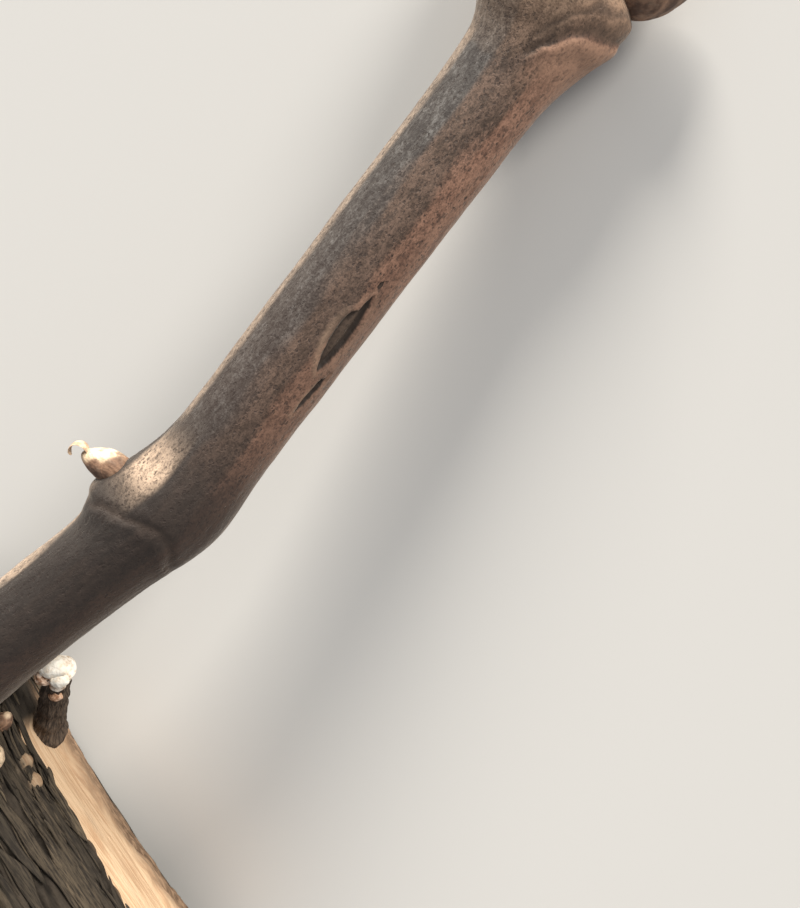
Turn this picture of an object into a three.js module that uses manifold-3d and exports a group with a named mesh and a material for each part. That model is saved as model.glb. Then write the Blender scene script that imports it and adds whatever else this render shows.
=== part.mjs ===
// A pruned piece of grapevine: a short arm of old wood with its knobbly head, and the one-year cane
// that grows from it, with two nodes and their winter buds. It lies on a level surface, resting on the
// underside of the arm and on the swelling of the cane's outer node. Millimetres, +Z up, origin on
// that surface under the middle of the piece. +Y runs roughly the way the cane grows.

import * as THREE from "three";
import { mergeVertices } from "three/addons/utils/BufferGeometryUtils.js";
import Module from "manifold-3d";

const wasm = await Module();
wasm.setup();

const DEGREE = Math.PI / 180;
const CLEARANCE = 0.3; // between two pieces that touch

// The plan position of the middle of the piece, in the frame that the limbs' start points are given in.
const MIDDLE = { x: -23.76, y: -11.96 };

// The arm of old wood, from its sawn end to the rounded head. Its section is a little oval.
const ARM = {
  start: [-32.0, -70.0, 12.7],
  heading: 126,
  length: 59,
  radius: 11.3,
  oval: 0.5,
  dome: 13,
  bark: 1.2, // thickness of the old bark
  rings: 40,
  sides: 40,
};
// Burls on the arm: distance along it, angle round it, height, and how far they spread both ways.
const BURLS = [
  { at: 46, side: 36, rise: 5.0, reach: 8.5, spread: 48 },
  { at: 44, side: -66, rise: 1.8, reach: 7, spread: 36 },
  { at: 26, side: -112, rise: 1.1, reach: 8, spread: 38 },
];
// Where the old bark has fallen away from the arm: angles round it, from the top towards the cane.
const BARE = { from: 80, to: 107, start: -6, end: 35.5, ragged: 3.0, edge: 6 };

// The cane: lengths along it, compass headings from +X towards +Y, and pitches above the level.
const CANE = {
  start: [-50.2, -27.5, 19.6],
  runs: [
    { length: 36.6, heading: 37.8, pitch: -6.2 },
    { length: 54.0, heading: 53.1, pitch: -9.95 },
    { length: 18.4, heading: 73.0, pitch: -1.5 },
  ],
  bend: 9, // length of cane over which a change of direction is spread
  step: 0.25, // spacing of the points that its centreline is worked out at
  radius: 4.85,
  tipRadius: 4.55,
  collar: 1.4, // how much wider the cane is where it leaves the head
  collarReach: 6,
  rings: 88,
  sides: 24,
};

// The cane's nodes: distance along the cane, and the side that the bud is on, from the top towards
// the right of the growing direction. The shelf is the raised foot of the fallen leaf stalk.
const NODES = [
  { at: 35.4, side: -70, swelling: 0.6, shelf: 0.7, shelfRise: 2.0 },
  { at: 93.8, side: 98, swelling: 1.6, shelf: 1.6, shelfRise: 2.6 },
];
const NODE = { reach: 5.0, shelfAhead: 0.5, shelfDrop: 1.2, shelfWidth: 40, bridge: 0.7 };

// The wound in the bark of the cane: two boat-shaped hollows in line.
const WOUNDS = [
  { at: 59.3, side: 52, length: 8.2, width: 2.2, depth: 1.1 },
  { at: 53.7, side: 63, length: 4.4, width: 0.9, depth: 0.7 },
];

const TIP_CUT = { slope: 22, towards: -78, size: 30 }; // slant of the cut at the cane's outer end

const BUD = { sunk: 0.9, scales: 3, ridge: 0.05, pointed: 0.28 };

// Buds on the cane: out is the angle between the bud and the way the cane grows.
const BUDS = [
  { name: "lower_bud", node: 0, ahead: -1.3, length: 6.4, width: 3.3, out: 110 },
  { name: "upper_bud", node: 1, ahead: 1.8, length: 8.8, width: 6.8, out: 50 },
];

// The stub beside the cane's foot, with its cluster of basal buds.
const STUB = {
  start: [-44.3, -35.8, 12.7],
  length: 11.5,
  heading: 60,
  pitch: 4,
  radius: 3.0,
  tipRadius: 1.7,
};
const STUB_LOBES = [
  { ahead: 0.3, side: 0, out: 0.2, length: 3.6, width: 3.7 },
  { ahead: -1.0, side: 90, out: 1.1, length: 2.8, width: 2.1 },
  { ahead: -1.0, side: -90, out: 1.0, length: 3.0, width: 2.2 },
  { ahead: -2.1, side: 10, out: 1.0, length: 2.6, width: 2.3 },
  { ahead: -3.8, side: 0, out: 1.7, length: 2.4, width: 1.8 },
];

// Single buds on the old wood.
const HEAD_BUDS = [
  { name: "head_bud_1", at: 36.6, side: 60, length: 4.4, width: 3.2, out: 80 },
  { name: "head_bud_2", at: 38.8, side: 74, length: 3.8, width: 2.2, out: 80 },
  { name: "head_bud_3", at: 47.0, side: -62, length: 4.6, width: 3.4, out: 75 },
];

// Strips of old bark that are coming away from the arm.
const STRIPS = [
  { name: "bark_strip_1", from: 5, to: 31, side: 66, width: 2.2, lift: 0.9 },
  { name: "bark_strip_2", from: 2, to: 30, side: 33, width: 2.8, lift: 0.7 },
  { name: "bark_strip_3", from: 9, to: 40, side: 4, width: 3.4, lift: 0.8 },
  { name: "bark_strip_4", from: 1.5, to: 27, side: -32, width: 3.0, lift: 1.1 },
  { name: "bark_strip_5", from: 12, to: 38, side: -70, width: 3.4, lift: 0.8 },
  { name: "bark_strip_6", from: 4, to: 29, side: -108, width: 2.8, lift: 0.6 },
];
const STRIP = { clearance: 0.5, thickness: 0.5, steps: 12, across: 3, curlReach: 6 };

const OLD_CUT = { at: 55.4, side: -20, tilt: 22, size: 60 }; // the healed pruning cut on the head

const COLOURS = {
  cane: 0x6b5749,
  arm: 0x4a4038,
  bark: 0x5a4a3c,
  bud: 0x5e4433,
};

function smooth(t) {
  const c = Math.min(1, Math.max(0, t));
  return c * c * (3 - 2 * c);
}

function bell(x) {
  return Math.exp(-x * x);
}

// The shortest way round from angle b to angle a, in degrees.
function turn(a, b) {
  return ((((a - b) % 360) + 540) % 360) - 180;
}

// Unit vector of a compass heading and a pitch.
function direction(heading, pitch) {
  const h = heading * DEGREE;
  const p = pitch * DEGREE;
  return new THREE.Vector3(Math.cos(h) * Math.cos(p), Math.sin(h) * Math.cos(p), Math.sin(p));
}

// The point in the piece's own frame of a start given from the survey frame.
function placed([x, y, z]) {
  return new THREE.Vector3(x - MIDDLE.x, y - MIDDLE.y, z);
}

// At a distance along a limb: its centre, the way it grows, and its upper and right-hand sides.
function section(centre, along) {
  const right = new THREE.Vector3().crossVectors(along, new THREE.Vector3(0, 0, 1)).normalize();
  const up = new THREE.Vector3().crossVectors(right, along);
  return { centre, along, up, right };
}

function straightPath(start, along) {
  return (s) => section(start.clone().addScaledVector(along, s), along);
}

// The cane's centreline: straight runs, with each change of heading and pitch eased in over the bend.
function canePath() {
  const points = [placed(CANE.start)];
  const ways = [];
  const ends = [];
  let total = 0;
  for (const run of CANE.runs) {
    total += run.length;
    ends.push(total);
  }
  for (let s = 0; s <= total + CANE.step; s += CANE.step) {
    let { heading, pitch } = CANE.runs[0];
    for (let i = 1; i < CANE.runs.length; i++) {
      const eased = smooth((s - ends[i - 1]) / CANE.bend + 0.5);
      heading += (CANE.runs[i].heading - CANE.runs[i - 1].heading) * eased;
      pitch += (CANE.runs[i].pitch - CANE.runs[i - 1].pitch) * eased;
    }
    const way = direction(heading, pitch);
    ways.push(way);
    points.push(points[points.length - 1].clone().addScaledVector(way, CANE.step));
  }
  const at = (s) => {
    const i = Math.min(ways.length - 1, Math.max(0, Math.floor(s / CANE.step)));
    return section(points[i].clone().addScaledVector(ways[i], s - i * CANE.step), ways[i]);
  };
  return { at, length: total };
}

// How far out the cane's bark is at distance s and angle a: taper, collar, swollen nodes, and on the
// bud's side of each node the shelf that the leaf stalk stood on.
function caneRadius(s, a) {
  let r = CANE.radius + (CANE.tipRadius - CANE.radius) * (s / cane.length);
  r += CANE.collar * Math.exp(-s / CANE.collarReach);
  for (const node of NODES) {
    const d = s - node.at;
    r += node.swelling * bell(d / NODE.reach);
    const round = bell(turn(a, node.side) / NODE.shelfWidth);
    const ahead = d + NODE.shelfAhead;
    const shelf = bell(ahead / (ahead < 0 ? node.shelfRise : NODE.shelfDrop));
    r += node.shelf * round * shelf + NODE.bridge * round * bell(d / NODE.reach);
  }
  return r;
}

// How far out the arm's surface is: the swelling of the head, the dome that closes it, the long ridges
// of the bark, and the step down to the wood where the bark has gone.
function barkCover(s, a) {
  const wander = BARE.ragged * Math.sin(s * 0.55) + 0.5 * BARE.ragged * Math.sin(s * 1.31 + 1);
  const low = smooth((BARE.from + wander - a) / BARE.edge);
  const high = smooth((a - BARE.to + 0.6 * wander) / BARE.edge);
  const ends = Math.max(smooth((BARE.start - s) / 3), smooth((s - BARE.end) / 3));
  return Math.max(low, high, ends);
}

function armRadius(s, angle) {
  const a = turn(angle, 0);
  const past = Math.max(0, (s - (ARM.length - ARM.dome)) / ARM.dome);
  const dome = Math.sqrt(Math.max(0.01, 1 - past * past));
  const t = a * DEGREE;
  const ridges =
    0.4 * Math.sin(7 * t + 0.06 * s) +
    0.25 * Math.sin(11 * t - 0.09 * s + 2) +
    0.35 * Math.sin(3 * t + 0.11 * s) * smooth((s - 24) / 12);
  const cover = barkCover(s, a);
  let r = ARM.radius + ARM.oval * Math.cos(2 * t) + ARM.bark * cover + ridges * cover;
  for (const burl of BURLS) {
    r += burl.rise * bell((s - burl.at) / burl.reach) * bell(turn(a, burl.side) / burl.spread);
  }
  return r * dome;
}

// A limb: a capped cylinder of unit radius whose rings are carried along a path and pushed out to a
// radius that may change with the distance and the angle.
function limb(at, length, radius, rings, sides, extra = 0) {
  const shape = new THREE.CylinderGeometry(1, 1, 1, sides, rings);
  const position = shape.getAttribute("position");
  const p = new THREE.Vector3();
  for (let i = 0; i < position.count; i++) {
    p.fromBufferAttribute(position, i);
    const s = (p.y + 0.5) * length;
    const share = Math.hypot(p.x, p.z);
    const angle = Math.atan2(p.x, p.z);
    const r = share < 0.5 ? 0 : radius(s, angle / DEGREE) + extra;
    const { centre, up, right } = at(s);
    p.copy(centre)
      .addScaledVector(right, r * Math.sin(angle))
      .addScaledVector(up, r * Math.cos(angle));
    position.setXYZ(i, p.x, p.y, p.z);
  }
  return shape;
}

// An egg, for a bud: a sphere stretched along its axis, narrower at the tip, and ridged by its scales.
function egg(centre, axis, length, width, scales) {
  const shape = new THREE.SphereGeometry(1, 16, 12);
  const turnTo = new THREE.Quaternion().setFromUnitVectors(new THREE.Vector3(0, 1, 0), axis);
  const position = shape.getAttribute("position");
  const p = new THREE.Vector3();
  for (let i = 0; i < position.count; i++) {
    p.fromBufferAttribute(position, i);
    const tip = (p.y + 1) / 2;
    const round = Math.atan2(p.x, p.z);
    const ridge = scales ? 1 + BUD.ridge * Math.cos(scales * round) * Math.sin(Math.PI * tip) : 1;
    const girth = (width / 2) * (1 - BUD.pointed * tip * tip) * ridge;
    p.set(p.x * girth, p.y * (length / 2), p.z * girth).applyQuaternion(turnTo).add(centre);
    position.setXYZ(i, p.x, p.y, p.z);
  }
  return shape;
}

// A closed geometry as a solid, with only its positions kept and its shared corners joined.
function solidOf(geometry) {
  const plain = geometry.clone();
  plain.deleteAttribute("normal");
  plain.deleteAttribute("uv");
  const merged = mergeVertices(plain, 1e-4);
  const mesh = new wasm.Mesh({
    numProp: 3,
    vertProperties: merged.getAttribute("position").array,
    triVerts: new Uint32Array(merged.index.array),
  });
  return new wasm.Manifold(mesh);
}

function geometryOf(solid) {
  const { vertProperties, triVerts, numProp } = solid.getMesh();
  const positions = new Float32Array((vertProperties.length / numProp) * 3);
  for (let i = 0; i < positions.length / 3; i++) {
    positions.set(vertProperties.subarray(i * numProp, i * numProp + 3), i * 3);
  }
  const geometry = new THREE.BufferGeometry();
  geometry.setAttribute("position", new THREE.BufferAttribute(positions, 3));
  geometry.setIndex(new THREE.BufferAttribute(triVerts, 1));
  geometry.computeVertexNormals();
  return geometry;
}

// The largest piece of a solid that a cut has left in several.
function largest(solid) {
  return solid.decompose().reduce((a, b) => (a.volume() > b.volume() ? a : b));
}

// A slab far bigger than the piece, whose lower face passes through a point, square to an axis.
function slab(point, axis, size) {
  const box = new THREE.BoxGeometry(size, size, size);
  box.translate(0, 0, size / 2);
  box.applyQuaternion(new THREE.Quaternion().setFromUnitVectors(new THREE.Vector3(0, 0, 1), axis));
  box.translate(point.x, point.y, point.z);
  return solidOf(box);
}

// The direction that stands out of a limb's side at an angle round it.
function outward(frame, side) {
  const a = side * DEGREE;
  return frame.up
    .clone()
    .multiplyScalar(Math.cos(a))
    .addScaledVector(frame.right, Math.sin(a));
}

// An axis that leans away from a limb's own by an angle, towards one of its sides.
function leaning(frame, side, angle) {
  return frame.along
    .clone()
    .multiplyScalar(Math.cos(angle * DEGREE))
    .addScaledVector(outward(frame, side), Math.sin(angle * DEGREE));
}

function makeArm(extra) {
  const shape = limb(armAt, ARM.length, armRadius, ARM.rings, ARM.sides, extra);
  const position = shape.getAttribute("position");
  for (let i = 0; i < position.count; i++) {
    position.setZ(i, Math.max(position.getZ(i), -extra)); // the bark is pressed flat where it lies
  }
  const frame = armAt(OLD_CUT.at);
  const axis = leaning(frame, OLD_CUT.side, OLD_CUT.tilt);
  const face = frame.centre.clone().addScaledVector(axis, extra);
  return solidOf(shape).subtract(slab(face, axis, OLD_CUT.size));
}

function woundCutter({ at, side, length, width, depth }) {
  const frame = cane.at(at);
  const out = outward(frame, side);
  const across = new THREE.Vector3().crossVectors(out, frame.along);
  const shape = new THREE.SphereGeometry(1, 14, 10);
  shape.scale(width / 2, depth, length / 2);
  shape.applyMatrix4(new THREE.Matrix4().makeBasis(across, out, frame.along));
  const middle = frame.centre.clone().addScaledVector(out, caneRadius(at, side));
  shape.translate(middle.x, middle.y, middle.z);
  return solidOf(shape);
}

function makeCane(extra) {
  let solid = solidOf(limb(cane.at, cane.length, caneRadius, CANE.rings, CANE.sides, extra));
  const end = cane.at(cane.length);
  const back = CANE.tipRadius * Math.tan(TIP_CUT.slope * DEGREE) + 0.4;
  const face = end.centre.clone().addScaledVector(end.along, extra - back);
  solid = solid.subtract(slab(face, leaning(end, TIP_CUT.towards, TIP_CUT.slope), TIP_CUT.size));
  for (const wound of WOUNDS) {
    solid = solid.subtract(woundCutter(wound));
  }
  return solid;
}

// A bud that stands on a limb's bark, sunk a little into it, at an angle to the way the limb grows.
function bud(frame, radius, { side, length, width, out }) {
  const axis = leaning(frame, side, out);
  const foot = frame.centre.clone().addScaledVector(outward(frame, side), radius - BUD.sunk);
  const centre = foot.addScaledVector(axis, length / 2 - BUD.sunk);
  return solidOf(egg(centre, axis, length, width, BUD.scales));
}

function makeBud({ node, ahead, ...sizes }) {
  const { at, side } = NODES[node];
  return bud(cane.at(at + ahead), caneRadius(at + ahead, side), { side, ...sizes });
}

function makeHeadBud({ at, ...sizes }) {
  return bud(armAt(at), armRadius(at, sizes.side), sizes);
}

function makeStub() {
  const along = direction(STUB.heading, STUB.pitch);
  const at = straightPath(placed(STUB.start), along);
  const taper = (s) => STUB.radius + (STUB.tipRadius - STUB.radius) * (s / STUB.length);
  let solid = solidOf(limb(at, STUB.length, taper, 10, 14));
  for (const lobe of STUB_LOBES) {
    const frame = at(STUB.length + lobe.ahead);
    const centre = frame.centre.clone().addScaledVector(outward(frame, lobe.side), lobe.out);
    solid = solid.add(solidOf(egg(centre, leaning(frame, lobe.side, 20), lobe.length, lobe.width, 0)));
  }
  return solid;
}

// A strip of bark that follows the arm's surface and lifts off it towards its ends.
function makeStrip({ from, to, side, width, lift }) {
  const shape = new THREE.BoxGeometry(1, 1, 1, STRIP.across, STRIP.steps, 1);
  const position = shape.getAttribute("position");
  for (let i = 0; i < position.count; i++) {
    const share = position.getY(i) + 0.5;
    const s = from + (to - from) * share;
    const end = Math.min(s - from, to - s) / STRIP.curlReach;
    const taper = 0.35 + 0.65 * smooth(end * 1.6);
    const wander = 2.2 * Math.sin(0.21 * s + side);
    const a = side + wander + (position.getX(i) * width * taper) / ARM.radius / DEGREE;
    const raised = lift * (1 - smooth(end)) + STRIP.thickness * (position.getZ(i) + 0.5);
    const frame = armAt(s);
    const r = armRadius(s, a) + STRIP.clearance + raised;
    const p = frame.centre.clone().addScaledVector(outward(frame, a), r);
    position.setXYZ(i, p.x, p.y, p.z);
  }
  return solidOf(shape);
}

const armAt = straightPath(placed(ARM.start), direction(ARM.heading, 0));
const cane = canePath();

const group = new THREE.Group();

function addPiece(name, solid, colour, roughness = 0.85) {
  const material = new THREE.MeshStandardMaterial({ color: colour, roughness, metalness: 0 });
  const mesh = new THREE.Mesh(geometryOf(solid), material);
  mesh.name = name;
  group.add(mesh);
}

const armGrown = makeArm(CLEARANCE);
const caneGrown = makeCane(CLEARANCE);

addPiece("arm", makeArm(0), COLOURS.arm, 0.9);
addPiece("cane", largest(makeCane(0).subtract(armGrown)), COLOURS.cane);
addPiece("basal_stub", largest(makeStub().subtract(armGrown).subtract(caneGrown)), COLOURS.cane);
for (const sizes of BUDS) {
  addPiece(sizes.name, largest(makeBud(sizes).subtract(caneGrown)), COLOURS.bud);
}
for (const sizes of HEAD_BUDS) {
  addPiece(sizes.name, largest(makeHeadBud(sizes).subtract(armGrown).subtract(caneGrown)), COLOURS.bud);
}
for (const strip of STRIPS) {
  addPiece(strip.name, makeStrip(strip), COLOURS.bark);
}

export default group;
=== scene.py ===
# A cut piece of dormant grapevine: a short arm of old wood with its knobbly head, and the one-year
# cane that grows from it. Every surface is worked out in millimetres and put down in metres. On each
# limb, s is the distance along it, and a is the side, in degrees round it from its top to its right.
import itertools

import bpy
import numpy as np
from mathutils import Matrix, Vector


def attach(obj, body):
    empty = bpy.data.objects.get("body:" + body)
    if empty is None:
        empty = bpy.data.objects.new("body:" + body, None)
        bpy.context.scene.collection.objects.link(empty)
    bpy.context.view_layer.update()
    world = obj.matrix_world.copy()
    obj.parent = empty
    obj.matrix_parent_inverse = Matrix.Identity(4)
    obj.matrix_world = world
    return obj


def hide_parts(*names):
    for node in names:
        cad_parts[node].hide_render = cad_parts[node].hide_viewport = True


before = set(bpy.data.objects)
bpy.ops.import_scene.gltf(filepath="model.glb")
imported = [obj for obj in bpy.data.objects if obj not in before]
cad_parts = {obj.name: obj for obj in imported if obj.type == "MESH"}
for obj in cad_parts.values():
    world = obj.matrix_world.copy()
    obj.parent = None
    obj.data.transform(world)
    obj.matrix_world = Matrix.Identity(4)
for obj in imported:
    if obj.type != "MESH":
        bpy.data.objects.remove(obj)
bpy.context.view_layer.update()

# The arm of old wood: a few years' growth, sawn flat at its lower end and swollen to a head at the
# other, where it has been pruned back each winter. Its dead bark has split into long fibrous plates,
# and on the side under the cane it has fallen away from the pale weathered wood.
MM = 0.001


def table(names, *rows):
    """Rows of values, each made a dictionary under the same names."""
    return [dict(zip(names.split(), row)) for row in rows]


# The middle of the whole piece, in the plan that the limbs' starts are given in.
MIDDLE = np.array([-23.76, -11.96, 0.0])
ARM = {"start": (-32.0, -70.0, 12.7), "heading": 126, "length": 59, "radius": 11.3, "oval": 0.5, "dome": 13}
BURLS = table(
    "at side rise reach spread",
    (46, 36, 4.7, 8.5, 48),
    (44, -66, 1.8, 7, 36),
    (26, -112, 1.1, 8, 38),
)
# The bare strip: the sides where it begins and ends at the sawn end, how far these turn for each mm
# and wander, and how wide the bark's broken edge is.
BARE = {"near": 77.58, "near_slope": 0.26, "far": 117.5, "far_slope": -3.0 / 35, "end": 35.5,
        "wander": 2.4, "edge": 2.4}
BARK_THICK = 1.2
# Past the strip the bark has worn thin, and it is painted brown there: the wood's reddish tone
# darkened with painted shade, as of wood turning away from the light.
WORN = {"at": 21, "side": 128, "reach": 13, "spread": 24, "share": 0.95}
BROWN_MARGIN_SHADE = {"near": 106, "far": 150, "end": 42}
# Fissures in the bark, from wide to fine, as cells of a noise: their size across and along the arm,
# the half-width and depth of the lines between them, and how far the plates stand apart in height.
FISSURES = table(
    "across along half deep step seed",
    (4.2, 24, 0.16, 0.75, 0.25, 21),
    (1.7, 12, 0.20, 0.5, 0.0, 23),
    (0.85, 7, 0.22, 0.3, 0.0, 24),
)
SPLIT = {"beside": 5.0, "half": 1.5, "deep": 0.9}
NUBS = table("at side", (33.4, 77.0), (31.2, 75.4))
NUB = {"long": 0.85, "wide": 0.6, "rise": 0.55}
# Cracks in the sawn face, from a near share of its radius to a far one.
CHECKS = table("side near far", (52, 0.05, 0.95), (190, 0.35, 0.7), (292, 0.12, 0.5), (335, 0.6, 0.92))
CHECK_HALF = 1.3
CHECK_DEEP = 0.9
OLD_CUT = {"at": 55.4, "side": -20, "tilt": 22, "rim": 7.6}
ARM_ROWS = 250
ARM_COLUMNS = 300
SAWN_ROWS = 26


def smooth(t):
    """0 below 0, 1 above 1, and eased in between."""
    c = np.clip(t, 0, 1)
    return c * c * (3 - 2 * c)


def bell(x):
    """A bump of height 1 and half-width about 1: exp(-x squared)."""
    return np.exp(-x * x)


def between(x, low, high, rise, fall):
    """1 between low and high and 0 outside them, eased over rise past low and over fall before high."""
    return smooth((x - low) / rise) * smooth((high - x) / fall)


def turn(a, b=0):
    """The shortest way round from angle b to angle a, in degrees."""
    return (a - b + 180) % 360 - 180


def mound(s, a, m):
    """A bump of height 1 on a limb, at its own distance and side, with its reach along and spread round."""
    return bell((s - m["at"]) / m["reach"]) * bell(turn(a, m["side"]) / m["spread"])


def noise(p, seed):
    """Smooth noise of about -1 to 1: random slopes on the corners of unit cells, eased across each."""
    rng = np.random.default_rng(seed)
    order = rng.permutation(256)
    slopes = rng.normal(size=(256, 3))
    slopes /= np.linalg.norm(slopes, axis=1, keepdims=True)
    cell = np.floor(p).astype(int)
    f = p - cell
    ease = f ** 3 * (f * (f * 6 - 15) + 10)
    total = np.zeros(p.shape[:-1])
    for corner in itertools.product((0, 1), repeat=3):
        k = order[(cell[..., 0] + corner[0]) & 255]
        k = order[(k + cell[..., 1] + corner[1]) & 255]
        k = order[(k + cell[..., 2] + corner[2]) & 255]
        weight = np.prod(np.where(corner, ease, 1 - ease), axis=-1)
        total += weight * np.sum(slopes[k] * (f - corner), axis=-1)
    return total * 1.6


def fractal(p, octaves, seed):
    """Noise summed over octaves, each twice as fine and half as high as the one before."""
    return sum(noise(p * 2 ** k, seed + k) / 2 ** k for k in range(octaves))


def unrolled(radius):
    """For a limb of about that radius, the noise coordinates of a point on it: they close round the
    limb, and a cell of the noise is so many mm across and along it."""
    def place(s, a, across=1, along=1):
        t = np.radians(a)
        return np.stack([radius * np.cos(t) / across, radius * np.sin(t) / across, s / along], axis=-1)

    return place


def way(heading, pitch):
    """Unit vectors of compass headings from +X towards +Y and pitches above the level."""
    h, q = np.radians(heading), np.radians(pitch)
    return np.stack([np.cos(h) * np.cos(q), np.sin(h) * np.cos(q), np.sin(q)], axis=-1)


def sides(along):
    """The unit vectors square to the way a limb grows: to its top, and to its right."""
    right = np.cross(along, [0, 0, 1.0])
    right /= np.linalg.norm(right, axis=-1, keepdims=True)
    return np.cross(right, along), right


def outward(along, a):
    """The unit vectors that point straight out of a limb on side a."""
    up, right = sides(along)
    t = np.radians(a)[..., None]
    return up * np.cos(t) + right * np.sin(t)


def leaning(along, a, angle):
    """The way at an angle to a limb's, towards its side a."""
    q = np.radians(angle)
    return along * np.cos(q) + outward(along, a) * np.sin(q)


def straight(start, heading):
    """The path of a straight level limb: its centre and its way at distance s."""
    along = way(heading, 0.0)
    origin = np.array(start) - MIDDLE

    def path(s):
        return origin + np.asarray(s)[..., None] * along, np.broadcast_to(along, np.shape(s) + (3,))

    return path


def around(path, s, a, r):
    """Points at distance s along a path, on side a of it, at radius r."""
    centre, along = path(s)
    return centre + r[..., None] * outward(along, a)


def shell(name, points, layers):
    """A piece of closed skins, given as skins x rings x points of a ring: quads between the rings, and
    a fan to a middle point at each end. The rings run along the piece, and each goes from the top to
    the right, so the faces look outwards. layers are values or vectors of each point."""
    skins, rows, cols, _ = points.reshape((-1,) + points.shape[-3:]).shape
    every = skins * rows * cols
    j = np.arange(cols)
    k = (j + 1) % cols
    first = (np.arange(skins) * rows * cols)[:, None]
    last = first + (rows - 1) * cols
    ring = (first + np.arange(rows - 1) * cols)[..., None]
    quads = np.stack([ring + j, ring + k, ring + cols + k, ring + cols + j], axis=-1).reshape(-1, 4)
    pole = np.broadcast_to(every + np.arange(skins)[:, None], (skins, cols))
    fans = np.concatenate([
        np.stack([pole, first + k, first + j], axis=-1).reshape(-1, 3),
        np.stack([pole + skins, last + j, last + k], axis=-1).reshape(-1, 3),
    ])

    def spread(value):
        """The values on the rings of every skin, and then at the middle points of their two ends."""
        grid = value.reshape(skins, rows, cols, -1)
        return np.concatenate([grid.reshape(every, -1), grid[:, 0].mean(1), grid[:, -1].mean(1)])

    layers = {key: spread(value) for key, value in layers.items()}
    return mesh_of(name, spread(points) * MM, [quads, fans], layers)


def put_down(name, data):
    """A new object in the scene."""
    made = bpy.data.objects.new(name, data)
    bpy.context.scene.collection.objects.link(made)
    return made


def mesh_of(name, verts, faces, layers):
    """An object from corner points in metres and lists of faces, with its layers as attributes."""
    mesh = bpy.data.meshes.new(name)
    counts = np.concatenate([np.full(len(group), group.shape[1]) for group in faces])
    loops = np.concatenate([group.reshape(-1) for group in faces])
    mesh.vertices.add(len(verts))
    mesh.vertices.foreach_set("co", verts.astype(np.float32).ravel())
    mesh.loops.add(len(loops))
    mesh.loops.foreach_set("vertex_index", loops.astype(np.int32))
    mesh.polygons.add(len(counts))
    mesh.polygons.foreach_set("loop_start", np.concatenate([[0], np.cumsum(counts)[:-1]]).astype(np.int32))
    mesh.polygons.foreach_set("use_smooth", np.ones(len(counts), bool))
    mesh.update(calc_edges=True)
    mesh.validate()
    for key, value in layers.items():
        kind, field = ("FLOAT_VECTOR", "vector") if value.shape[1] == 3 else ("FLOAT", "value")
        layer = mesh.attributes.new(key, kind, "POINT")
        layer.data.foreach_set(field, value.astype(np.float32).ravel())
    return put_down(name, mesh)


def linear(colour):
    """Three screen values of 0 to 255 as the linear light that shaders use."""
    c = np.array(colour) / 255
    return tuple(np.where(c <= 0.04045, c / 12.92, ((c + 0.055) / 1.055) ** 2.4)) + (1.0,)


class Nodes:
    """Short calls for the nodes of a pattern. What they are given is a socket or a plain value, and a
    colour is a socket or three screen values."""

    def __init__(self, tree):
        self.tree = tree

    def node(self, kind, inputs=None, **settings):
        """Any node: its settings first, because a group has no inputs before it has its tree."""
        made = self.tree.nodes.new(kind)
        for key, value in settings.items():
            setattr(made, key, value)
        for key, value in (inputs or {}).items():
            self.feed(made.inputs[key], value)
        return made

    def feed(self, socket, value):
        """A link into a socket, or the plain value set on it."""
        if isinstance(value, bpy.types.NodeSocket):
            self.tree.links.new(value, socket)
        else:
            socket.default_value = value

    def math(self, operation, *values, kind="ShaderNodeMath"):
        """A sum or another operation on plain values."""
        return self.node(kind, dict(enumerate(values)), operation=operation).outputs[0]

    def vectors(self, operation, *values):
        """The same on vectors."""
        return self.math(operation, *values, kind="ShaderNodeVectorMath")

    def add(self, a, b):
        """a plus b."""
        return self.math("ADD", a, b)

    def times(self, a, b):
        """a times b."""
        return self.math("MULTIPLY", a, b)

    def weighted(self, *terms):
        """The sum of values that are each given with a weight."""
        total = 0.0
        for value, weight in terms:
            total = self.math("MULTIPLY_ADD", value, weight, total)
        return total

    def ragged(self, value, pattern, amount):
        """A value made uneven by a pattern of 0 to 1, up or down by half the amount."""
        return self.add(value, self.times(self.add(pattern, -0.5), amount))

    def span(self, value, low, high, to_low=0.0, to_high=1.0):
        """A value eased from to_low at low to to_high at high, and held past them."""
        inputs = {"Value": value, 1: low, 2: high, 3: to_low, 4: to_high}
        return self.node("ShaderNodeMapRange", inputs, interpolation_type="SMOOTHSTEP").outputs[0]

    def cloud(self, vector, scale, detail=4.0, rough=0.55):
        """Soft noise of 0 to 1, with so many cells to the mm."""
        inputs = {"Vector": vector, "Scale": scale, "Detail": detail, "Roughness": rough}
        return self.node("ShaderNodeTexNoise", inputs).outputs["Fac"]

    def mix(self, share, a, b):
        """Colour a, turned into colour b by a share of 0 to 1. The node's inputs 6 and 7 are colours."""
        made = self.node("ShaderNodeMix", {0: share}, data_type="RGBA", clamp_factor=True)
        for place, colour in ((6, a), (7, b)):
            self.feed(made.inputs[place], linear(colour) if isinstance(colour, tuple) else colour)
        return made.outputs[2]


class Finish(Nodes):
    """A material under construction, which reads the layers of the mesh that it is put on."""

    def __init__(self, name):
        self.material = bpy.data.materials.new(name)
        self.material.use_nodes = True
        super().__init__(self.material.node_tree)
        self.shader = self.tree.nodes["Principled BSDF"]

    def layer(self, name, output="Fac"):
        """One layer of the mesh, as a value or, with the output Vector, as a vector."""
        return self.node("ShaderNodeAttribute", attribute_name=name).outputs[output]

    def done(self, colour, roughness, relief, depth, specular):
        """The finished material: relief is a height of 0 to 1, and depth says how many mm that is."""
        bump = self.node("ShaderNodeBump", {"Height": relief, "Distance": depth * MM, "Strength": 0.8})
        self.feed(self.shader.inputs["Base Color"], colour)
        self.feed(self.shader.inputs["Roughness"], roughness)
        self.feed(self.shader.inputs["Normal"], bump.outputs[0])
        self.shader.inputs["Specular IOR Level"].default_value = specular
        return self.material


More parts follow.
